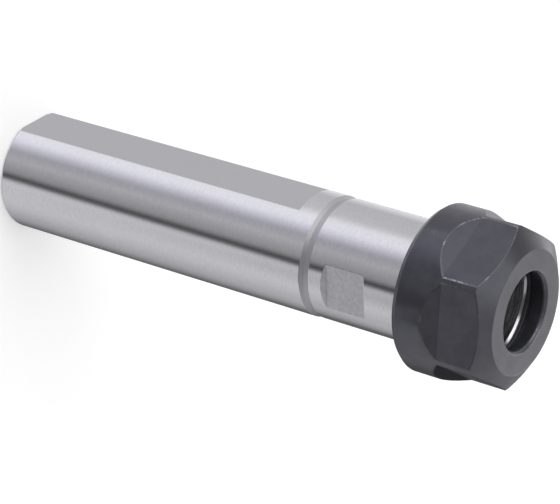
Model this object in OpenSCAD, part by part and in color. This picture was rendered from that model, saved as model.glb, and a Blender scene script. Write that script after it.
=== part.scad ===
// Straight-shank collet chuck: a one-piece turned and ground body with a long
// clamping flat, and the hexagonal clamping nut that screws on to its nose.
// The chuck stands on the rear end of its shank with the tool axis along +Z.
// The clamping flat faces -Y, and the two wrench flats face +X and -X.

/* [Shank] */
// Diameter of the ground shank
shank_d = 25; // [18:0.5:32]
// Length of the shank, from the rear face to the relief groove
shank_l = 76.8; // [40:0.1:120]
// Bevel on the rear edge of the shank
rear_bevel = 0.5; // [0.2:0.1:2]

/* [Clamping flat] */
// Depth of the milled flat below the shank's surface
flat_depth = 1.15; // [0.3:0.05:3]
// Length of the flat, from the rear face
flat_l = 72.3; // [20:0.1:76]

/* [Relief groove] */
// Width of the grinding relief between shank and neck
groove_w = 2.1; // [1:0.1:4]
// Depth of the relief below the neck's surface
groove_depth = 0.35; // [0.1:0.05:1]
// Share of the groove's width that slopes down from the shank
groove_slope = 0.35; // [0.1:0.05:0.6]

/* [Neck] */
// Diameter of the neck between the relief groove and the nut
neck_d = 24.7; // [20:0.1:26]
// Length of the neck
neck_l = 23.1; // [16:0.1:40]

/* [Wrench flats] */
// Distance across the two wrench flats
wrench_af = 22.8; // [18:0.1:24]
// Length of the floor of each wrench flat
wrench_l = 8.8; // [5:0.1:10]
// Distance from the relief groove to the floor of each wrench flat
wrench_start = 3.7; // [2:0.1:6]
// Length of the sloped end of each wrench flat
wrench_ramp = 0.65; // [0.3:0.05:1.5]

/* [Nose thread] */
// Pitch diameter of the nose thread, drawn as a plain cylinder
thread_d = 24; // [23.4:0.1:26]
// Length of the nose thread with its bevel
thread_l = 11.7; // [8:0.1:14]
// Bevel at the front of the nose
nose_bevel = 0.4; // [0.1:0.05:0.6]
// Width of the undercut behind the thread
undercut_w = 1.6; // [0.8:0.1:2.4]
// Depth of the undercut below the thread cylinder
undercut_depth = 0.7; // [0.3:0.1:1.2]
// Radial running clearance between the nut and the nose thread
thread_clearance = 0.06; // [0.02:0.01:0.1]

/* [Collet seat] */
// Diameter of the ground taper at its mouth
seat_d = 21; // [18:0.1:21.4]
// Half angle of the taper
seat_angle = 8; // [6:0.5:9]
// Length of the taper
seat_l = 27; // [20:0.5:32]
// Radial size of the bevel at the mouth of the taper
seat_bevel = 0.55; // [0.3:0.05:0.8]
// Half angle of that bevel
seat_bevel_angle = 30; // [20:1:45]
// Diameter of the tool clearance behind the taper
clearance_d = 13; // [11:0.1:13.3]
// Length of the tool clearance
clearance_l = 10; // [4:0.5:20]
// Diameter of the through bore
bore_d = 10.2; // [6:0.1:10.8]
// Cone angle of the drill tip between the tool clearance and the bore
drill_angle = 118; // [90:1:140]
// Width of the centring cone at the rear of the bore
centre_w = 1.6; // [0.5:0.1:3]
// Cone angle of the centring cone
centre_angle = 60; // [60:1:90]

/* [Nut outside] */
// Diameter of the round collar of the nut
nut_d = 34; // [31.6:0.1:36]
// Length of the nut
nut_l = 20; // [18.5:0.1:24]
// Distance across the hexagon
nut_af = 30; // [28.6:0.1:31]
// Turn of the hexagon about the tool axis, in degrees
nut_turn = -7; // [-30:1:30]
// Length of the hexagon, from the front face to where its flats end
hex_l = 10.4; // [7:0.1:13]
// Length of the sloped run-out behind each flat
hex_runout = 3; // [1:0.1:4]
// Diameter of the flat front face
face_d = 25.1; // [21:0.1:27]
// Length of the front cone, from the face to the collar's diameter
front_cone_l = 2.85; // [1.5:0.05:4]
// Radial size of the bevel on the rear edge
nut_bevel_r = 0.75; // [0.3:0.05:1.5]
// Length of the bevel on the rear edge
nut_bevel_l = 1; // [0.4:0.05:2]

/* [Nut inside] */
// Diameter of the opening in the front face
mouth_d = 15.8; // [12:0.1:16.4]
// Bevel round the opening
mouth_bevel = 0.5; // [0.2:0.05:1]
// Length of the straight wall behind the bevel
mouth_land = 0.4; // [0.2:0.05:1]
// Half angle of the inner cone that presses on the collet
press_angle = 30; // [25:1:40]
// Large diameter of the inner cone
press_d = 19.4; // [17.4:0.1:20]
// Diameter of the room for the head of the collet
head_d = 21.2; // [20.6:0.1:22]
// Length of that room
head_l = 0.7; // [0.4:0.1:1.2]
// Diameter of the opening in the extraction lip
lip_d = 19.8; // [18:0.1:20.2]
// Distance of that opening from the tool axis
lip_offset = 0.4; // [0:0.05:0.6]
// Thickness of the extraction lip
lip_l = 0.7; // [0.4:0.1:1.2]
// Gap between the lip and the nose of the body
lip_gap = 0.3; // [0.1:0.05:0.6]
// Length of the relief between the lip and the nut's thread
nut_relief_l = 1.8; // [1:0.1:3]
// Depth of that relief below the nut's thread
nut_relief_depth = 0.7; // [0.4:0.1:1]
// Radial gap between the neck and the rear counterbore
skirt_gap = 0.5; // [0.2:0.05:0.7]
// Depth of the rear counterbore
skirt_l = 2.2; // [1:0.1:4]

/* [Hidden] */
$fn = 144;
// Overshoot of every cutting shape beyond the surface that it cuts
over = 1;
// Ends of the body's stretches along the tool axis
groove_z = shank_l + groove_w;
neck_z = groove_z + neck_l;
thread_z = neck_z + undercut_w;
nose_z = thread_z + thread_l;
// Taper, tool clearance and bore, measured back from the nose
seat_z = nose_z - seat_bevel / tan(seat_bevel_angle);
seat_end_z = seat_z - seat_l;
seat_end_r = seat_d / 2 - seat_l * tan(seat_angle);
clearance_z = seat_end_z - clearance_l;
drill_z = clearance_z - (clearance_d - bore_d) / 2 / tan(drill_angle / 2);
centre_l = centre_w / tan(centre_angle / 2);
// Place of the nut, from its lip forwards and backwards
lip_z = nose_z + lip_gap;
head_z = lip_z + lip_l;
press_z = head_z + head_l;
land_z = press_z + (press_d - mouth_d) / 2 / tan(press_angle);
bevel_z = land_z + mouth_land;
face_z = bevel_z + mouth_bevel;
rear_z = face_z - nut_l;
relief_z = lip_z - nut_relief_l;
skirt_z = rear_z + skirt_l;
nut_thread_r = thread_d / 2 + thread_clearance;
nut_relief_r = nut_thread_r + nut_relief_depth;
skirt_r = neck_d / 2 + skirt_gap;

// Turned outside of the body, from the rear face to the nose. The seam of its
// round faces is turned into the middle of the clamping flat.
module body_blank() {
    slope_z = shank_l + groove_w * groove_slope;
    groove_r = neck_d / 2 - groove_depth;
    rotate(-90)
        rotate_extrude()
            polygon([
                [0, 0],
                [shank_d / 2 - rear_bevel, 0],
                [shank_d / 2, rear_bevel],
                [shank_d / 2, shank_l],
                [groove_r, slope_z],
                [groove_r, groove_z],
                [neck_d / 2, groove_z],
                [neck_d / 2, neck_z],
                [thread_d / 2 - undercut_depth, neck_z],
                [thread_d / 2 - undercut_depth, thread_z - undercut_depth],
                [thread_d / 2, thread_z],
                [thread_d / 2, nose_z - nose_bevel],
                [thread_d / 2 - nose_bevel, nose_z],
                [0, nose_z]
            ]);
}

// Everything that is bored and ground along the tool axis
module body_bores() {
    rotate_extrude()
        polygon([
            [0, -over],
            [bore_d / 2 + centre_w, -over],
            [bore_d / 2 + centre_w, 0],
            [bore_d / 2, centre_l],
            [bore_d / 2, drill_z],
            [clearance_d / 2, clearance_z],
            [clearance_d / 2, seat_end_z],
            [seat_end_r, seat_end_z],
            [seat_d / 2, seat_z],
            [seat_d / 2 + seat_bevel, nose_z],
            [seat_d / 2 + seat_bevel, nose_z + over],
            [0, nose_z + over]
        ]);
}

// Long flat that the clamping screws press on
module clamping_flat() {
    translate([-shank_d / 2, -shank_d / 2 - over, -over])
        cube([shank_d, flat_depth + over, flat_l + over]);
}

// Cutter for one wrench flat, with a sloped end at both sides
module wrench_flat() {
    floor_z = groove_z + wrench_start;
    depth = (neck_d - wrench_af) / 2;
    run = wrench_ramp * (depth + over) / depth;
    rotate([90, 0, 0])
        linear_extrude(neck_d, center = true)
            polygon([
                [wrench_af / 2, floor_z],
                [wrench_af / 2 + depth + over, floor_z - run],
                [wrench_af / 2 + depth + over, floor_z + wrench_l + run],
                [wrench_af / 2, floor_z + wrench_l]
            ]);
}

module chuck_body() {
    color([0.74, 0.74, 0.75])
        difference() {
            body_blank();
            body_bores();
            clamping_flat();
            for (side = [0, 180])
                rotate(side)
                    wrench_flat();
        }
}

// Turned outside of the nut: bevelled collar, front cone and flat face
module nut_blank() {
    rotate_extrude()
        polygon([
            [0, rear_z],
            [nut_d / 2 - nut_bevel_r, rear_z],
            [nut_d / 2, rear_z + nut_bevel_l],
            [nut_d / 2, face_z - front_cone_l],
            [face_d / 2, face_z],
            [0, face_z]
        ]);
}

// Cutter for one side of the hexagon, with its sloped run-out
module hexagon_side() {
    start_z = face_z - hex_l;
    depth = (nut_d - nut_af) / 2;
    run = hex_runout * (depth + over) / depth;
    rotate([90, 0, 0])
        linear_extrude(nut_d, center = true)
            polygon([
                [nut_af / 2, start_z],
                [nut_af / 2 + depth + over, start_z - run],
                [nut_af / 2 + depth + over, face_z + over],
                [nut_af / 2, face_z + over]
            ]);
}

// Opening, press cone and room for the head of the collet
module nut_front_bore() {
    rotate_extrude()
        polygon([
            [0, head_z],
            [head_d / 2, head_z],
            [head_d / 2, press_z],
            [press_d / 2, press_z],
            [mouth_d / 2, land_z],
            [mouth_d / 2, bevel_z],
            [mouth_d / 2 + mouth_bevel, face_z],
            [mouth_d / 2 + mouth_bevel, face_z + over],
            [0, face_z + over]
        ]);
}

// Off-centre opening of the lip that pulls the collet out
module lip_bore() {
    translate([lip_offset, 0, lip_z - over])
        cylinder(d = lip_d, h = lip_l + 2 * over);
}

// Thread relief, thread and rear counterbore
module nut_rear_bore() {
    rotate_extrude()
        polygon([
            [0, rear_z - over],
            [skirt_r, rear_z - over],
            [skirt_r, skirt_z],
            [nut_thread_r, skirt_z],
            [nut_thread_r, relief_z],
            [nut_relief_r, relief_z],
            [nut_relief_r, lip_z],
            [0, lip_z]
        ]);
}

module clamping_nut() {
    color([0.27, 0.28, 0.31])
        rotate(nut_turn)
            difference() {
                nut_blank();
                for (side = [0 : 60 : 300])
                    rotate(side)
                        hexagon_side();
                nut_front_bore();
                lip_bore();
                nut_rear_bore();
            }
}

chuck_body();
clamping_nut();
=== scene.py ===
"""Looks, studio and camera for a straight-shank collet chuck and its clamping nut.

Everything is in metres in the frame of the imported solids: the chuck stands on the
rear end of its shank, the tool axis is +Z and the clamping flat faces -Y. Sizes in
the code are millimetres times MM.
"""
import math

import bmesh
import bpy
import numpy as np
from mathutils import Matrix, Vector


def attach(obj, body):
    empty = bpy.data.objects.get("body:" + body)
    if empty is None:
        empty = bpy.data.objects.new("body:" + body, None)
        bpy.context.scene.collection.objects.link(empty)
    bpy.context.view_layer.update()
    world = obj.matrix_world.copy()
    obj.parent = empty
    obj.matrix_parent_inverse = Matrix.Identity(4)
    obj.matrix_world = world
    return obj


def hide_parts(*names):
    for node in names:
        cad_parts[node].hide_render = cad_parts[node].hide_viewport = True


MM = 0.001


# Camera

# Place of the photograph's camera and the two directions of its picture, fitted to
# the outline of the shank and the nut, the flat and the groove
CAMERA_PLACE = Vector((382.735, -241.664, 343.055)) * MM
PICTURE_RIGHT = Vector((-0.57697, 0.03022, 0.81621))
PICTURE_DOWN = Vector((0.38986, 0.88832, 0.2427))
SENSOR_WIDTH = 36.0
# Focal length in pixels of a picture 560 pixels wide
FOCAL_PIXELS = 2632.5
PICTURE_WIDTH = 560
# Nearest and farthest distance that the camera sees, in metres
CLIP_START = 0.01
CLIP_END = 10.0


def add_to_scene(name, data):
    """A new object in the scene from a mesh or a camera."""
    thing = bpy.data.objects.new(name, data)
    bpy.context.scene.collection.objects.link(thing)
    return thing


def make_camera():
    """The photograph's camera."""
    data = bpy.data.cameras.new("camera")
    data.sensor_fit = "HORIZONTAL"
    data.sensor_width = SENSOR_WIDTH
    data.lens = FOCAL_PIXELS * SENSOR_WIDTH / PICTURE_WIDTH
    data.clip_start = CLIP_START
    data.clip_end = CLIP_END
    camera = add_to_scene("camera", data)
    right = PICTURE_RIGHT.normalized()
    down = (PICTURE_DOWN - right * PICTURE_DOWN.dot(right)).normalized()
    back = right.cross(-down)
    axes = Matrix((right, -down, back)).transposed().to_4x4()
    camera.matrix_world = Matrix.Translation(CAMERA_PLACE) @ axes
    bpy.context.scene.camera = camera


# Node helpers

# Places of the two colours and of the result among the sockets of a Mix node
MIX_FIRST = 6
MIX_SECOND = 7
MIX_RESULT = 2


class Nodes:
    """A node tree with short calls for the nodes of the studio and the materials."""

    def __init__(self, tree):
        self.tree = tree
        tree.nodes.clear()

    def add(self, kind, inputs=None, **settings):
        """A new node, with values in its inputs and with its settings."""
        node = self.tree.nodes.new("ShaderNode" + kind)
        for key, value in settings.items():
            setattr(node, key, value)
        for key, value in (inputs or {}).items():
            self.put(node.inputs[key], value)
        return node

    def put(self, socket, value):
        """A socket takes either a constant or another node's output."""
        if isinstance(value, bpy.types.NodeSocket):
            self.tree.links.new(value, socket)
        else:
            socket.default_value = value

    def finish(self, shader, output="OutputMaterial"):
        """The shader goes to the tree's output."""
        out = self.add(output)
        self.tree.links.new(shader.outputs[0], out.inputs["Surface"])

    def math(self, operation, a, b=0.0):
        """The result of one operation on two numbers, or on the first alone."""
        return self.add("Math", {0: a, 1: b}, operation=operation).outputs[0]

    def smooth(self, value, low, high, out_low=0.0, out_high=1.0):
        """A smooth step from out_low to out_high while value goes from low to high."""
        sockets = {
            "Value": value,
            "From Min": low,
            "From Max": high,
            "To Min": out_low,
            "To Max": out_high,
        }
        node = self.add("MapRange", sockets, interpolation_type="SMOOTHSTEP")
        return node.outputs["Result"]

    def mix(self, share, a, b, **settings):
        """A colour from a, where share is 0, to b, where it is 1."""
        node = self.add("Mix", {0: share}, data_type="RGBA", **settings)
        self.put(node.inputs[MIX_FIRST], a)
        self.put(node.inputs[MIX_SECOND], b)
        return node.outputs[MIX_RESULT]

    def noise(self, place, scale, detail=2.0, roughness=0.5):
        """Noise with so many spots a metre, or with a number of its own along X, Y, Z."""
        if isinstance(scale, tuple):
            place = self.add("Mapping", {"Vector": place, "Scale": scale}).outputs[0]
            scale = 1.0
        sockets = {"Vector": place, "Scale": scale, "Detail": detail, "Roughness": roughness}
        return self.add("TexNoise", sockets).outputs["Fac"]

    def bump(self, height, strength, depth):
        """Normals of a surface that rises by height times depth, in millimetres."""
        sockets = {"Height": height, "Strength": strength, "Distance": depth * MM}
        return self.add("Bump", sockets).outputs[0]

    def place(self):
        """The point of the surface, in the frame of the object."""
        return self.add("TexCoord").outputs["Object"]


def new_material(name):
    """A material without nodes, and its node tree."""
    material = bpy.data.materials.new(name)
    material.use_nodes = True
    return material, Nodes(material.node_tree)


def opaque(colour, shade=1.0):
    """A colour for a socket, made darker by the shade."""
    return tuple(part * shade for part in colour) + (1.0,)


# Studio

# Brightness of the studio below the horizon, which the shank mirrors: broad soft
# panels with a narrow dark gap near 0 degrees and a wide one near -135. The angle is
# measured in the floor's plane from +X towards -Y. The last number is how much more
# blue than red and green the light has.
PANELS = [
    (-180, 0.86, 1.03),
    (-166, 1.10, 1.03),
    (-152, 0.30, 1.03),
    (-142, 0.20, 1.03),
    (-120, 0.16, 1.03),
    (-98, 0.42, 1.03),
    (-65, 0.73, 1.03),
    (-30, 0.90, 1.03),
    (-11, 0.92, 1.03),
    (-6, 0.70, 1.03),
    (-2, 0.11, 1.03),
    (4, 0.04, 1.03),
    (9, 0.31, 1.03),
    (13, 0.40, 1.03),
    (38, 0.61, 1.04),
    (43, 0.56, 1.05),
    (54, 0.49, 1.09),
    (61, 0.64, 1.11),
    (70, 0.90, 1.10),
    (80, 1.15, 1.09),
    (96, 1.19, 1.04),
    (106, 0.92, 1.03),
    (113, 0.78, 1.03),
    (166, 0.68, 1.03),
    (180, 0.86, 1.03),
]
# Sine of the height at which the panels start to give way to the light from above,
# and of the height at which that light is complete
PANELS_END = 0.05
ABOVE_START = 0.40
# Light from above: its level and its slope towards the side that it comes from
ABOVE_LEVEL = 0.66
ABOVE_SLOPE = 0.42
ABOVE_FROM = (180, 25)
# Softboxes and dark cards in front of all that light: angle, height, the angles from
# the centre at which the card starts to fade and has gone, and its factor on the light
CARDS = [
    (112, 64, 16, 32, 1.75),
    (72, 30, 16, 32, 2.30),
    (166, -12, 8, 18, 1.80),
    (-167, 3, 6, 18, 1.45),
    (-135, 5, 8, 18, 4.00),
    (-148, 26, 8, 16, 1.03),
    (-19, -7, 14, 23, 0.20),
    (-85, -12, 8, 20, 1.35),
    (159, 42, 8, 24, 0.35),
    (20, 33, 14, 28, 0.25),
    (-114, -8, 10, 24, 0.10),
]


def direction(angle, height):
    """A unit vector from an angle as the panels have it and a height, in degrees."""
    turn = math.radians(angle)
    lift = math.radians(height)
    x = math.cos(turn) * math.cos(lift)
    y = -math.sin(turn) * math.cos(lift)
    return (x, y, math.sin(lift))


def panel_light(nodes, parts):
    """Brightness by the angle round the vertical axis."""
    turned = nodes.math("MULTIPLY", parts.outputs["Y"], -1.0)
    angle = nodes.math("ARCTAN2", turned, parts.outputs["X"])
    share = nodes.math("ADD", nodes.math("DIVIDE", angle, 2 * math.pi), 0.5)
    node = nodes.add("ValToRGB", {"Fac": share})
    stops = node.color_ramp.elements
    # A new ramp has two stops already
    for _ in PANELS[2:]:
        stops.new(0.5)
    for stop, (degrees, light, blue) in zip(stops, PANELS):
        stop.position = degrees / 360 + 0.5
        stop.color = (light, light, light * blue, 1.0)
    return node.outputs["Color"]


def facing(nodes, way, angle, height):
    """Cosine of the angle between the way that a ray goes and a direction."""
    dot = nodes.add("VectorMath", {0: way}, operation="DOT_PRODUCT")
    dot.inputs[1].default_value = direction(angle, height)
    return dot.outputs["Value"]


def light_above(nodes, way):
    """Light from above, brighter towards one side."""
    slope = nodes.math("MULTIPLY", facing(nodes, way, *ABOVE_FROM), ABOVE_SLOPE)
    return nodes.math("ADD", slope, ABOVE_LEVEL)


def cards(nodes, way):
    """The factor of all the softboxes and dark cards together on the light."""
    together = 1.0
    for angle, height, start, end, factor in CARDS:
        near = math.cos(math.radians(start))
        far = math.cos(math.radians(end))
        toward = facing(nodes, way, angle, height)
        card = nodes.smooth(toward, far, near, out_low=1.0, out_high=factor)
        together = nodes.math("MULTIPLY", card, together)
    return together


def make_world():
    """The light of the studio: its panels, the light from above and the cards."""
    world = bpy.data.worlds.new("studio")
    bpy.context.scene.world = world
    world.use_nodes = True
    nodes = Nodes(world.node_tree)
    way = nodes.add("TexCoord").outputs["Generated"]
    parts = nodes.add("SeparateXYZ", {0: way})
    up = nodes.smooth(parts.outputs["Z"], PANELS_END, ABOVE_START)
    light = nodes.mix(up, panel_light(nodes, parts), light_above(nodes, way))
    background = nodes.add("Background", {"Color": light, "Strength": cards(nodes, way)})
    nodes.finish(background, "OutputWorld")


# Half the side of the floor, in metres
FLOOR_HALF = 20.0
FLOOR_GREY = (0.93, 0.93, 0.93)
# What the floor adds to the light that falls on it, so that it comes up to white
FLOOR_LIFT = 0.24


def floor_white():
    """Matt white that is a little paler to the camera and in mirrors and glass."""
    material, nodes = new_material("floor")
    rays = nodes.add("LightPath").outputs
    seen = nodes.math("MAXIMUM", rays["Is Camera Ray"], rays["Is Glossy Ray"])
    seen = nodes.math("MAXIMUM", seen, rays["Is Transmission Ray"])
    paler = nodes.add("Emission", {"Strength": nodes.math("MULTIPLY", seen, FLOOR_LIFT)})
    matt = nodes.add("BsdfDiffuse", {"Color": opaque(FLOOR_GREY)})
    nodes.finish(nodes.add("AddShader", {0: matt.outputs[0], 1: paler.outputs[0]}))
    return material


def make_floor():
    """A plain pale floor that the shank stands on."""
    mesh = bpy.data.meshes.new("floor")
    sides = [(-1, -1), (1, -1), (1, 1), (-1, 1)]
    corners = [(x * FLOOR_HALF, y * FLOOR_HALF, 0) for x, y in sides]
    mesh.from_pydata(corners, [], [(0, 1, 2, 3)])
    mesh.materials.append(floor_white())
    floor = add_to_scene("floor", mesh)
    # The ground steel mirrors the panels of the studio, so glossy rays pass the floor
    floor.visible_glossy = False
    floor.visible_shadow = False


# Radius and height of the backdrop, in metres, and the number of its sides
BACKDROP_R = 4.0
BACKDROP_H = 4.0
BACKDROP_SIDES = 96


def backdrop_white():
    """A white that needs no light."""
    material, nodes = new_material("backdrop")
    nodes.finish(nodes.add("Emission", {"Strength": 1.0}))
    return material


def make_backdrop():
    """A white wall round the object, seen by the camera alone."""
    tube = bmesh.new()
    size = {"radius1": BACKDROP_R, "radius2": BACKDROP_R, "depth": BACKDROP_H}
    middle = Matrix.Translation((0, 0, BACKDROP_H / 2))
    bmesh.ops.create_cone(tube, segments=BACKDROP_SIDES, matrix=middle, **size)
    mesh = bpy.data.meshes.new("backdrop")
    tube.to_mesh(mesh)
    tube.free()
    mesh.materials.append(backdrop_white())
    backdrop = add_to_scene("backdrop", mesh)
    backdrop.visible_diffuse = False
    backdrop.visible_glossy = False
    backdrop.visible_transmission = False
    backdrop.visible_shadow = False


# Materials

# Ground steel from its warmest to its coolest clouds
GROUND_WARM = (0.625, 0.617, 0.629)
GROUND_COOL = (0.665, 0.662, 0.682)
# How bright the neck is next to the shank: the same ground steel, made a little darker
# as painted shade
NECK_SHADE = 0.97
# Height of the waves on the ground steel next to its rings, and depth of its grain
WAVES = 4.0
GRAIN = 0.07
FLAT_GREY = (0.548, 0.544, 0.56)
TURNED_GREY = (0.45, 0.444, 0.462)
BEVEL_GREY = (0.66, 0.66, 0.67)
# Rings of the taper that the collet sits in
SEAT_DARK = (0.38, 0.38, 0.39)
SEAT_BRIGHT = (0.75, 0.75, 0.76)
# Wrench flats, where the mill cut least and deepest
MILLED_DARK = (0.448, 0.443, 0.459)
MILLED_BRIGHT = (0.518, 0.512, 0.529)
# Centre of the end mill's arcs on the wrench flats, their pitch and their unevenness
MILL_CENTRE = Vector((11.5, 6.0, 79.0)) * MM
MILL_PITCH = 0.75 * MM
MILL_WOBBLE = 1.1 * MM
# Black oxide from its darkest to its palest clouds, outside and inside the nut; the
# inside is the same oxide painted much paler, as painted light in the nut's hollow
OXIDE = [(0.003, 0.003, 0.004), (0.015, 0.014, 0.017)]
OXIDE_INSIDE_PAINTED_LIGHT = [(0.075, 0.077, 0.086), (0.095, 0.097, 0.110)]
# Colour of what the oxide mirrors, a little blue
OXIDE_TINT = (0.95, 0.95, 1.12)
# Steel that shows where the oxide has worn off, and along the edges of the hexagon's
# lit side partly a painted highlight
WORN_AND_HIGHLIGHT = (0.42, 0.42, 0.43)
# Share of the wear that runs evenly along an edge; the rest is broken into specks
WORN_EVENLY = 0.2


def surface(material, nodes, sockets):
    """The material, with a surface shader that has these values in its sockets."""
    nodes.finish(nodes.add("BsdfPrincipled", sockets))
    return material


def steel(material, nodes, sockets):
    """The material, with such a shader for bare metal."""
    return surface(material, nodes, {"Metallic": 1.0, **sockets})


def ground_steel(name="ground_steel", shade=1.0):
    """Cylindrically ground steel: fine rings round the axis."""
    material, nodes = new_material(name)
    place = nodes.place()
    rings = nodes.noise(place, scale=(150, 150, 9000), detail=4.0, roughness=0.65)
    waves = nodes.noise(place, scale=(300, 300, 700))
    height = nodes.math("ADD", rings, nodes.math("MULTIPLY", waves, WAVES))
    clouds = nodes.noise(place, scale=90, detail=3.0)
    colour = nodes.mix(clouds, opaque(GROUND_WARM, shade), opaque(GROUND_COOL, shade))
    spots = nodes.noise(place, scale=(900, 900, 2600), detail=4.0, roughness=0.7)
    grain = nodes.smooth(spots, 0.3, 0.7)
    marks = nodes.math("ADD", nodes.math("MULTIPLY", grain, GRAIN), 1.0 - GRAIN)
    tangent = nodes.add("Tangent", direction_type="RADIAL", axis="Z")
    return steel(material, nodes, {
        "Base Color": nodes.mix(1.0, colour, marks, blend_type="MULTIPLY"),
        "Roughness": 0.2,
        "Anisotropic": 0.95,
        "Anisotropic Rotation": 0.25,
        "Normal": nodes.bump(height, strength=0.10, depth=0.01),
        "Tangent": tangent.outputs[0],
    })


def seat_steel():
    """The taper that the collet sits in, ground, with darker rings."""
    material, nodes = new_material("seat_steel")
    rings = nodes.noise(nodes.place(), scale=(60, 60, 1500), detail=3.0, roughness=0.6)
    share = nodes.smooth(rings, 0.42, 0.60)
    return steel(material, nodes, {
        "Base Color": nodes.mix(share, opaque(SEAT_DARK), opaque(SEAT_BRIGHT)),
        "Roughness": 0.25,
    })


def bevel_steel():
    """The bevel at the mouth of that taper, polished."""
    material, nodes = new_material("bevel_steel")
    return steel(material, nodes, {
        "Base Color": opaque(BEVEL_GREY),
        "Roughness": 0.16,
    })


def flat_steel():
    """The clamping flat: surface ground, an even grey."""
    material, nodes = new_material("flat_steel")
    lines = nodes.noise(nodes.place(), scale=(5000, 400, 400), detail=3.0)
    return steel(material, nodes, {
        "Base Color": opaque(FLAT_GREY),
        "Roughness": 0.34,
        "Normal": nodes.bump(lines, strength=0.1, depth=0.01),
    })


def mill_arcs(nodes, place):
    """Waves on arcs round the centre of the mill's path, the same on both sides."""
    parts = nodes.add("SeparateXYZ", {0: place}).outputs
    either_side = nodes.math("ABSOLUTE", parts["X"])
    folded = nodes.add("CombineXYZ", {0: either_side, 1: parts["Y"], 2: parts["Z"]})
    away = nodes.add("VectorMath", {0: folded.outputs[0]}, operation="DISTANCE")
    away.inputs[1].default_value = MILL_CENTRE
    wobble = nodes.math("MULTIPLY", nodes.noise(place, scale=500), MILL_WOBBLE)
    distance = nodes.math("ADD", away.outputs["Value"], wobble)
    return nodes.math("SINE", nodes.math("MULTIPLY", distance, 2 * math.pi / MILL_PITCH))


def milled_steel():
    """The wrench flats: the arcs of an end mill, brighter where the mill cut deeper."""
    material, nodes = new_material("milled_steel")
    place = nodes.place()
    patches = nodes.smooth(nodes.noise(place, scale=500), 0.48, 0.68, out_high=0.8)
    arcs = nodes.math("MULTIPLY", mill_arcs(nodes, place), patches)
    spots = nodes.noise(place, scale=1300, detail=4.0, roughness=0.6)
    rough = nodes.smooth(spots, 0.3, 0.7, out_low=-0.9, out_high=0.9)
    height = nodes.math("ADD", arcs, rough)
    bright = nodes.smooth(height, -1.0, 1.0)
    return steel(material, nodes, {
        "Base Color": nodes.mix(bright, opaque(MILLED_DARK), opaque(MILLED_BRIGHT)),
        "Roughness": 0.4,
        "Normal": nodes.bump(height, strength=0.5, depth=0.01),
    })


def turned_steel():
    """Turned steel that wasn't ground: the relief groove, the rear face and the bores."""
    material, nodes = new_material("turned_steel")
    rings = nodes.noise(nodes.place(), scale=(300, 300, 5000))
    return steel(material, nodes, {
        "Base Color": opaque(TURNED_GREY),
        "Roughness": 0.5,
        "Normal": nodes.bump(rings, strength=0.2, depth=0.02),
    })


def black_oxide(name, colours):
    """Black oxide, satin, faintly cloudy, with edges worn bright and partly painted
    highlight.
    """
    material, nodes = new_material(name)
    place = nodes.place()
    clouds = nodes.noise(place, scale=210, detail=4.0, roughness=0.65)
    dark, pale = [opaque(colour) for colour in colours]
    coat = nodes.mix(nodes.smooth(clouds, 0.35, 0.65), dark, pale)
    patches = nodes.smooth(nodes.noise(place, scale=260), 0.42, 0.6)
    spots = nodes.noise(place, scale=1500, detail=3.0, roughness=0.7)
    broken = nodes.math("MULTIPLY", patches, nodes.smooth(spots, 0.35, 0.6))
    broken = nodes.smooth(broken, 0.0, 1.0, out_low=WORN_EVENLY)
    # Edge wear, on the hexagon's lit side partly a painted highlight
    wear_and_highlight = nodes.add("Attribute", attribute_name="wear_and_highlight").outputs["Fac"]
    worn_and_highlit = nodes.math("MULTIPLY", wear_and_highlight, broken)
    grain = nodes.noise(place, scale=9000)
    return surface(material, nodes, {
        "Base Color": nodes.mix(worn_and_highlit, coat, opaque(WORN_AND_HIGHLIGHT)),
        "Metallic": worn_and_highlit,
        "Roughness": nodes.smooth(clouds, 0.3, 0.7, out_low=0.36, out_high=0.30),
        "IOR": 1.8,
        "Specular Tint": opaque(OXIDE_TINT),
        "Normal": nodes.bump(grain, strength=0.15, depth=0.01),
    })


# Shapes


def run(rise, angle):
    """Length on which a wall rises so much, at this angle to the axis in degrees."""
    return rise / math.tan(math.radians(angle))


# Driving sizes of the body, the same as in the solids: radii and lengths in
# millimetres, and the angles of its walls to the axis in degrees. GROOVE_SLOPE is the
# share of the groove's width that its sloped wall takes.
SHANK_R = 12.5
SHANK_L = 76.8
REAR_BEVEL = 0.5
FLAT_DEPTH = 1.15
FLAT_L = 72.3
GROOVE_W = 2.1
GROOVE_DEPTH = 0.35
GROOVE_SLOPE = 0.35
NECK_R = 12.35
NECK_L = 23.1
WRENCH_R = 11.4
WRENCH_L = 8.8
WRENCH_FROM_GROOVE = 3.7
WRENCH_RAMP = 0.65
THREAD_R = 12.0
THREAD_L = 11.7
NOSE_BEVEL = 0.4
UNDERCUT_W = 1.6
UNDERCUT_DEPTH = 0.7
SEAT_R = 10.5
SEAT_L = 27.0
SEAT_ANGLE = 8.0
SEAT_BEVEL = 0.55
SEAT_BEVEL_ANGLE = 30.0
CLEARANCE_R = 6.5
CLEARANCE_L = 10.0
BORE_R = 5.1
DRILL_ANGLE = 59.0
CENTRE_W = 1.6
CENTRE_ANGLE = 30.0

# Sizes and heights that follow from them
GROOVE_END = SHANK_L + GROOVE_W
GROOVE_FLOOR_START = SHANK_L + GROOVE_SLOPE * GROOVE_W
GROOVE_R = NECK_R - GROOVE_DEPTH
NECK_END = GROOVE_END + NECK_L
WRENCH_START = GROOVE_END + WRENCH_FROM_GROOVE
WRENCH_END = WRENCH_START + WRENCH_L
UNDERCUT_R = THREAD_R - UNDERCUT_DEPTH
THREAD_START = NECK_END + UNDERCUT_W
NOSE = THREAD_START + THREAD_L
SEAT_START = NOSE - run(SEAT_BEVEL, SEAT_BEVEL_ANGLE)
SEAT_END = SEAT_START - SEAT_L
SEAT_END_R = SEAT_R - SEAT_L * math.tan(math.radians(SEAT_ANGLE))
CLEARANCE_END = SEAT_END - CLEARANCE_L
BORE_START = CLEARANCE_END - run(CLEARANCE_R - BORE_R, DRILL_ANGLE)
CENTRE_L = run(CENTRE_W, CENTRE_ANGLE)

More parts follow.
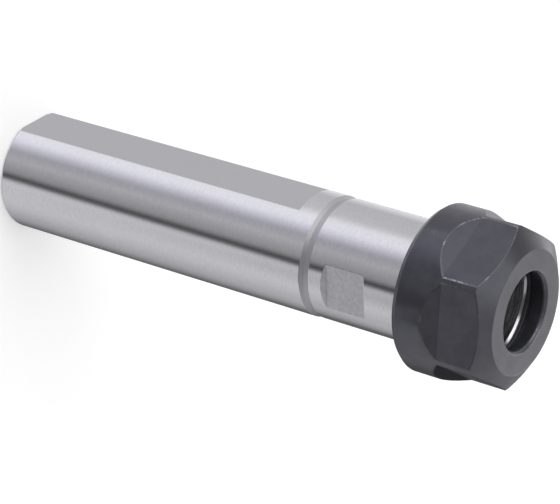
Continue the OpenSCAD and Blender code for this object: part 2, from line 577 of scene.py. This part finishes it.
# Driving sizes of the nut, given as the body's are, with the turn of its hexagon
NUT_R = 17.0
NUT_L = 20.0
NUT_TURN = -7.0
HEXAGON_R = 15.0
HEXAGON_L = 10.4
HEXAGON_RUNOUT = 3.0
FACE_R = 12.55
CONE_L = 2.85
NUT_BEVEL_R = 0.75
NUT_BEVEL_L = 1.0
MOUTH_R = 7.9
MOUTH_BEVEL = 0.5
MOUTH_LAND = 0.4
PRESS_R = 9.7
PRESS_ANGLE = 30.0
HEAD_R = 10.6
HEAD_L = 0.7
LIP_R = 9.9
LIP_L = 0.7
LIP_OFFSET = 0.4
LIP_GAP = 0.3
THREAD_CLEARANCE = 0.06
RELIEF_DEPTH = 0.7
RELIEF_L = 1.8
SKIRT_GAP = 0.5
SKIRT_L = 2.2

# Sizes and heights that follow from them
LIP_START = NOSE + LIP_GAP
LIP_END = LIP_START + LIP_L
PRESS_START = LIP_END + HEAD_L
LAND_START = PRESS_START + run(PRESS_R - MOUTH_R, PRESS_ANGLE)
NUT_FACE = LAND_START + MOUTH_LAND + MOUTH_BEVEL
NUT_REAR = NUT_FACE - NUT_L
HEXAGON_START = NUT_FACE - HEXAGON_L
CONE_START = NUT_FACE - CONE_L
NUT_THREAD_R = THREAD_R + THREAD_CLEARANCE
RELIEF_R = NUT_THREAD_R + RELIEF_DEPTH
RELIEF_START = LIP_START - RELIEF_L
SKIRT_R = NECK_R + SKIRT_GAP
SKIRT_END = NUT_REAR + SKIRT_L

# Rounding of the turned edges, and the points that shape it
EDGE = 0.09
EDGE_STEPS = 3
# Most of a wall that the rounding of one corner takes
EDGE_SHARE = 0.3
# Distance of the holding points from a corner, in reaches of its rounding
HOLD = 1.5
# Least distance between two rows or from a row to a corner
ROW_GAP = 0.01
# Points closer together than this are one
MERGE = 0.0008
# Radius that stands for a flat out of sight, and the cosine down to which one is seen
FAR_AWAY = 99.0
LEAST_FACING = 0.3


def rounded(corners):
    """A closed outline in (r, z) with every corner rounded by a short curve.

    A holding point on each side of a curve keeps the shading of the long walls flat.
    """
    corners = [np.array(corner, float) for corner in corners]
    outline = []
    for i, corner in enumerate(corners):
        before = corners[i - 1] - corner
        after = corners[(i + 1) % len(corners)] - corner
        before_l = np.linalg.norm(before)
        after_l = np.linalg.norm(after)
        reach = min(EDGE, EDGE_SHARE * before_l, EDGE_SHARE * after_l)
        before *= reach / before_l
        after *= reach / after_l
        outline.append(corner + before * HOLD)
        for share in np.linspace(0, 1, EDGE_STEPS):
            outline.append(corner + before * (1 - share) ** 2 + after * share ** 2)
        outline.append(corner + after * HOLD)
    return outline


def with_rows(outline, heights, outside):
    """The outline with a row at each height on its rising walls beyond a radius."""
    rows = []
    for here, there in zip(outline, outline[1:] + outline[:1]):
        rows.append(here)
        rise = there[1] - here[1]
        if min(here[0], there[0]) > outside and rise > 0:
            between = (heights > here[1] + ROW_GAP) & (heights < there[1] - ROW_GAP)
            shares = (heights[between] - here[1]) / rise
            rows += [here + (there - here) * share for share in shares]
    return rows


def columns(coarse, flats, reach, fine):
    """Angles in radians, in coarse steps and in fine ones near the edges of the flats.

    A flat is its middle and half its width. They, the steps and the reach of the fine
    ones on each side of an edge are in degrees.
    """
    angles = list(np.arange(0, 360, coarse))
    near = np.arange(-reach, reach + fine / 2, fine)
    for middle, half in flats:
        angles += list((middle - half + near) % 360)
        angles += list((middle + half + near) % 360)
    angles = np.unique(np.round(angles, 4))
    apart = np.diff(angles, prepend=angles[-1] - 360) > fine / 3
    return np.radians(angles[apart])


def softer_min(a, b, width):
    """The smaller of two radii, with the edge between them rounded."""
    near = np.clip(1 - np.abs(a - b) / width, 0, 1)
    return np.minimum(a, b) - near ** 2 * width / 4


def across_flat(distance, angle):
    """Radius at which a flat lies, seen from the axis; far away behind the axis."""
    toward = np.cos(angle)
    on_flat = distance / np.maximum(toward, LEAST_FACING)
    return np.where(toward > LEAST_FACING, on_flat, FAR_AWAY)


def swept_faces(row_count, column_count):
    """Four corners of every face of a skin, as numbers of its points."""
    row, column = np.indices((row_count, column_count))
    next_row = (row + 1) % row_count
    next_column = (column + 1) % column_count
    corners = [row * column_count + column, row * column_count + next_column]
    corners += [next_row * column_count + next_column, next_row * column_count + column]
    return np.stack(corners, -1).reshape(-1, 4)


def merge_points(mesh):
    """Points of the mesh that are closer together than MERGE become one."""
    merged = bmesh.new()
    merged.from_mesh(mesh)
    bmesh.ops.remove_doubles(merged, verts=merged.verts, dist=MERGE * MM)
    merged.to_mesh(mesh)
    merged.free()


def skin(name, rows, angles, turn, shape, finish, materials):
    """A closed skin: rows of (radius, height) swept round +Z and joined in a loop.

    shape(r, z, angle) gives the true radius and the wear of the surface there, with its
    painted highlight, and finish(r, z, angle) the number of the material. The whole skin
    is then turned.
    """
    r, z = np.array(rows).T[:, :, None]
    true_r, wear_and_highlight = shape(r, z, angles[None, :])
    x = true_r * np.cos(angles + turn)
    y = true_r * np.sin(angles + turn)
    places = np.stack([x, y, np.broadcast_to(z, true_r.shape)], -1)
    faces = swept_faces(*true_r.shape)
    mesh = bpy.data.meshes.new(name)
    mesh.from_pydata((places * MM).reshape(-1, 3).tolist(), [], faces.tolist())
    mesh.attributes.new("wear_and_highlight", "FLOAT", "POINT").data.foreach_set("value", wear_and_highlight.ravel())
    number = finish((r + np.roll(r, -1, 0)) / 2, (z + np.roll(z, -1, 0)) / 2, angles)
    mesh.polygons.foreach_set("material_index", np.ascontiguousarray(number.ravel()))
    for material in materials:
        mesh.materials.append(material)
    merge_points(mesh)
    mesh.shade_smooth()
    return add_to_scene(name, mesh)


# Body

# Numbers of the body's finishes, in the order in which make_body lists them
GROUND, FLAT, MILLED, TURNED, NECK, SEAT, BEVEL = range(7)
# Angle from the middle of each flat to its edges, to a tenth of a degree
FLAT_EDGE = 24.8
WRENCH_EDGE = 22.6
# Rounding of the flats' edges, as a difference of radius
FLAT_ROUND = 0.05
# Walls beyond this radius are the outside, which the flats cut
OUTSIDE_R = 11.2
# Height over which the step at the end of the flat rises, and how far past the shank
STEP = 0.02
STEP_PAST = 0.2
# Distance of the extra rows at the flat's end and on the sloped ends of the wrench
# flats, and how far those rows go past the slope
STEP_ROW = 0.05
RAMP_ROW = 0.05
RAMP_MARGIN = 0.15
# Angles between the columns of points, in degrees, on the round and near the edges,
# and how far from an edge the fine ones go
BODY_COLUMN = 1.5
BODY_FINE = 0.1
BODY_REACH = 1.0
# How far past a wall's radius or height its finish still holds
R_MARGIN = 0.1
REAR_MARGIN = 0.01
SEAT_MARGIN = 0.05


def clamping_flat(z, angle):
    """Radius of the clamping flat, which faces -Y and ends in a step."""
    rise = np.clip((z - FLAT_L) / STEP, 0, 1) * (FLAT_DEPTH + STEP_PAST)
    return across_flat(SHANK_R - FLAT_DEPTH + rise, angle + math.pi / 2)


def wrench_flats(z, angle):
    """Radius of the two wrench flats, which face +X and -X and have sloped ends."""
    outside = np.maximum(np.maximum(WRENCH_START - z, z - WRENCH_END), 0)
    distance = WRENCH_R + outside * (NECK_R - WRENCH_R) / WRENCH_RAMP
    return np.minimum(across_flat(distance, angle), across_flat(distance, angle - math.pi))


def body_shape(r, z, angle):
    """The turned body with its flats, and no wear."""
    cut = np.where(z < GROOVE_END, clamping_flat(z, angle), wrench_flats(z, angle))
    true_r = np.where(r > OUTSIDE_R, softer_min(r, cut, FLAT_ROUND), r)
    return true_r, np.zeros(true_r.shape)


def body_finish(r, z, angle):
    """Number of the material of every face of the body."""
    middle = angle + (np.roll(angle, -1) - angle) % (2 * math.pi) / 2
    z = np.broadcast_to(z, (len(z), len(angle)))
    outside = r > OUTSIDE_R
    number = np.full(z.shape, GROUND)
    number[(r > GROOVE_R - R_MARGIN) & (z > SHANK_L) & (z < GROOVE_END)] = TURNED
    number[(r > GROOVE_R) & (z > GROOVE_END)] = NECK
    number[(z < REAR_MARGIN) | (r < CLEARANCE_R + R_MARGIN)] = TURNED
    number[(r < SEAT_R + R_MARGIN) & (z > SEAT_END)] = SEAT
    number[(r < THREAD_R - NOSE_BEVEL) & (z > SEAT_START + SEAT_MARGIN)] = BEVEL
    number[outside & (z < FLAT_L) & (clamping_flat(z, middle) < r)] = FLAT
    number[outside & (z > GROOVE_END) & (wrench_flats(z, middle) < r)] = MILLED
    return number


def make_body():
    """The body, from its centring cone out, along the outside and back through it."""
    corners = [
        (BORE_R + CENTRE_W, 0),
        (SHANK_R - REAR_BEVEL, 0),
        (SHANK_R, REAR_BEVEL),
        (SHANK_R, SHANK_L),
        (GROOVE_R, GROOVE_FLOOR_START),
        (GROOVE_R, GROOVE_END),
        (NECK_R, GROOVE_END),
        (NECK_R, NECK_END),
        (UNDERCUT_R, NECK_END),
        (UNDERCUT_R, THREAD_START - UNDERCUT_DEPTH),
        (THREAD_R, THREAD_START),
        (THREAD_R, NOSE - NOSE_BEVEL),
        (THREAD_R - NOSE_BEVEL, NOSE),
        (SEAT_R + SEAT_BEVEL, NOSE),
        (SEAT_R, SEAT_START),
        (SEAT_END_R, SEAT_END),
        (CLEARANCE_R, SEAT_END),
        (CLEARANCE_R, CLEARANCE_END),
        (BORE_R, BORE_START),
        (BORE_R, CENTRE_L),
    ]
    heights = [FLAT_L - STEP_ROW, FLAT_L, FLAT_L + STEP, FLAT_L + STEP + STEP_ROW]
    ramp = np.arange(-RAMP_MARGIN, WRENCH_RAMP + RAMP_MARGIN, RAMP_ROW)
    heights += list(WRENCH_START - ramp) + list(WRENCH_END + ramp)
    rows = with_rows(rounded(corners), np.array(sorted(heights)), OUTSIDE_R)
    flats = [(-90, FLAT_EDGE), (0, WRENCH_EDGE), (180, WRENCH_EDGE)]
    angles = columns(BODY_COLUMN, flats, BODY_REACH, BODY_FINE)
    finishes = [ground_steel(), flat_steel(), milled_steel(), turned_steel()]
    # The neck's copy of the ground steel is a little darker, as painted shade
    finishes += [ground_steel("neck_steel", NECK_SHADE), seat_steel(), bevel_steel()]
    piece = skin("body", rows, angles, 0.0, body_shape, body_finish, finishes)
    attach(piece, "chuck_body")
    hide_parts("chuck_body")


# Nut

# Rounding of the hexagon's edges and width of their wear, as differences of radius,
# and the side where they are worn most, in degrees, with the share on the others. That
# side faces the light, so the bright steel on its edges is partly a painted highlight.
HEXAGON_EDGE = 0.15
HEXAGON_WEAR = 0.13
MOST_WORN_LIT_SIDE = -60.0
LEAST_WEAR = 0.25
# Radius, height, reach and strength of the worn turned edges
WORN_RINGS = [
    (MOUTH_R + MOUTH_BEVEL, NUT_FACE, 0.13, 0.9),
    (MOUTH_R, NUT_FACE - MOUTH_BEVEL, 0.13, 0.9),
    (NUT_R, NUT_REAR + NUT_BEVEL_L, 0.12, 0.3),
]
# Start, end and distance of the nut's rows: across the run-outs, where the cone cuts
# the flats, and up to the face
NUT_ROWS = [
    (HEXAGON_START - HEXAGON_RUNOUT - 0.15, HEXAGON_START + 0.2, 0.075),
    (CONE_START - 0.15, CONE_START + 1.5, 0.04),
    (CONE_START + 1.5, NUT_FACE, 0.3),
]
# The nut's columns, as the body's are given
NUT_COLUMN = 1.25
NUT_FINE = 0.15
NUT_REACH = 0.9
# Slack in the tests for the lip, for the walls that get rows, for the hexagon's wear
# and for the inside
LIP_Z_MARGIN = 0.01
LIP_R_MARGIN = 0.2
ROWS_MARGIN = 0.05
WEAR_MARGIN = 0.2
INSIDE_R_MARGIN = 0.02
INSIDE_Z_MARGIN = 0.05
# Sixth of a turn, the angle from one side of the hexagon to the next
SIXTH = math.pi / 3


def off_centre_r(r, angle):
    """Radius of a circle that is LIP_OFFSET away from the axis, seen from the axis."""
    across = LIP_OFFSET * np.sin(angle)
    return LIP_OFFSET * np.cos(angle) + np.sqrt(r ** 2 - across ** 2)


def hexagon_r(z, angle):
    """Radius of the hexagon's flats and of the sloped run-outs behind them."""
    side = (angle + SIXTH / 2) % SIXTH - SIXTH / 2
    slope = (NUT_R - HEXAGON_R) / HEXAGON_RUNOUT
    return (HEXAGON_R + np.maximum(HEXAGON_START - z, 0) * slope) / np.cos(side)


def nut_wear_and_highlight(r, z, angle, flat, true_r):
    """Wear along the hexagon's edges and the turned edges, 0 to 1; on the lit side partly
    painted highlight.
    """
    worn_and_highlit = np.clip(1 - np.abs(r - flat) / HEXAGON_WEAR, 0, 1)
    worn_and_highlit = worn_and_highlit * (r > FACE_R + WEAR_MARGIN)
    # The side that faces the light keeps all its wear, partly as a painted highlight
    on_lit_worn_side = np.cos(angle - math.radians(MOST_WORN_LIT_SIDE)) > math.cos(SIXTH / 2)
    worn_and_highlit = worn_and_highlit * np.where(on_lit_worn_side, 1.0, LEAST_WEAR)
    for edge_r, edge_z, reach, most in WORN_RINGS:
        near = 1 - np.hypot(true_r - edge_r, z - edge_z) / reach
        worn_and_highlit = np.maximum(worn_and_highlit, np.clip(near, 0, 1) * most)
    return worn_and_highlit


def nut_shape(r, z, angle):
    """The turned blank with its hexagon, and the off-centre opening of the lip."""
    flat = hexagon_r(z, angle)
    true_r = softer_min(r, flat, HEXAGON_EDGE)
    in_lip = (z > LIP_START - LIP_Z_MARGIN) & (z < LIP_END + LIP_Z_MARGIN)
    in_lip = in_lip & (r < LIP_R + LIP_R_MARGIN)
    true_r = np.where(in_lip, off_centre_r(true_r, angle), true_r)
    return true_r, nut_wear_and_highlight(r, z, angle, flat, true_r)


def nut_finish(r, z, angle):
    """1 for the faces inside the nut, with the oxide painted paler as painted light, 0 for
    the others.
    """
    below_bevel = z < NUT_FACE - MOUTH_BEVEL - INSIDE_Z_MARGIN
    inside = (r < SKIRT_R + INSIDE_R_MARGIN) & below_bevel
    return np.broadcast_to(np.where(inside, 1, 0), (len(z), len(angle)))


def make_nut():
    """The nut, from its rear face along the outside and back through its mouth."""
    corners = [
        (SKIRT_R, NUT_REAR),
        (NUT_R - NUT_BEVEL_R, NUT_REAR),
        (NUT_R, NUT_REAR + NUT_BEVEL_L),
        (NUT_R, CONE_START),
        (FACE_R, NUT_FACE),
        (MOUTH_R + MOUTH_BEVEL, NUT_FACE),
        (MOUTH_R, NUT_FACE - MOUTH_BEVEL),
        (MOUTH_R, LAND_START),
        (PRESS_R, PRESS_START),
        (HEAD_R, PRESS_START),
        (HEAD_R, LIP_END),
        (LIP_R, LIP_END),
        (LIP_R, LIP_START),
        (RELIEF_R, LIP_START),
        (RELIEF_R, RELIEF_START),
        (NUT_THREAD_R, RELIEF_START),
        (NUT_THREAD_R, SKIRT_END),
        (SKIRT_R, SKIRT_END),
    ]
    heights = np.concatenate([np.arange(*span) for span in NUT_ROWS])
    rows = with_rows(rounded(corners), heights, FACE_R - ROWS_MARGIN)
    half = math.degrees(math.acos(HEXAGON_R / NUT_R))
    flats = [(middle, half) for middle in range(0, 360, 60)]
    angles = columns(NUT_COLUMN, flats, NUT_REACH, NUT_FINE)
    turn = math.radians(NUT_TURN)
    finishes = [black_oxide("black_oxide", OXIDE)]
    # Inside, the same oxide painted much paler, as painted light in the nut's hollow
    finishes.append(black_oxide("black_oxide_inside_painted_light", OXIDE_INSIDE_PAINTED_LIGHT))
    piece = skin("nut", rows, angles, turn, nut_shape, nut_finish, finishes)
    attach(piece, "clamping_nut")
    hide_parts("clamping_nut")


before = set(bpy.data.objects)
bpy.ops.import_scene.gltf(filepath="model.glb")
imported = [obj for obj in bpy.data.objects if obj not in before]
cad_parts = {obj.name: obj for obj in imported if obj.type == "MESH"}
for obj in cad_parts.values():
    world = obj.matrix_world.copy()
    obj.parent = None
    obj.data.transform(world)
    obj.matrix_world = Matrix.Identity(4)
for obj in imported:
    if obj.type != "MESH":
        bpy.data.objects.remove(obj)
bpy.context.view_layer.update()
make_camera()
make_world()
make_floor()
make_backdrop()
make_body()
make_nut()
bpy.context.scene.view_settings.view_transform = "Standard"
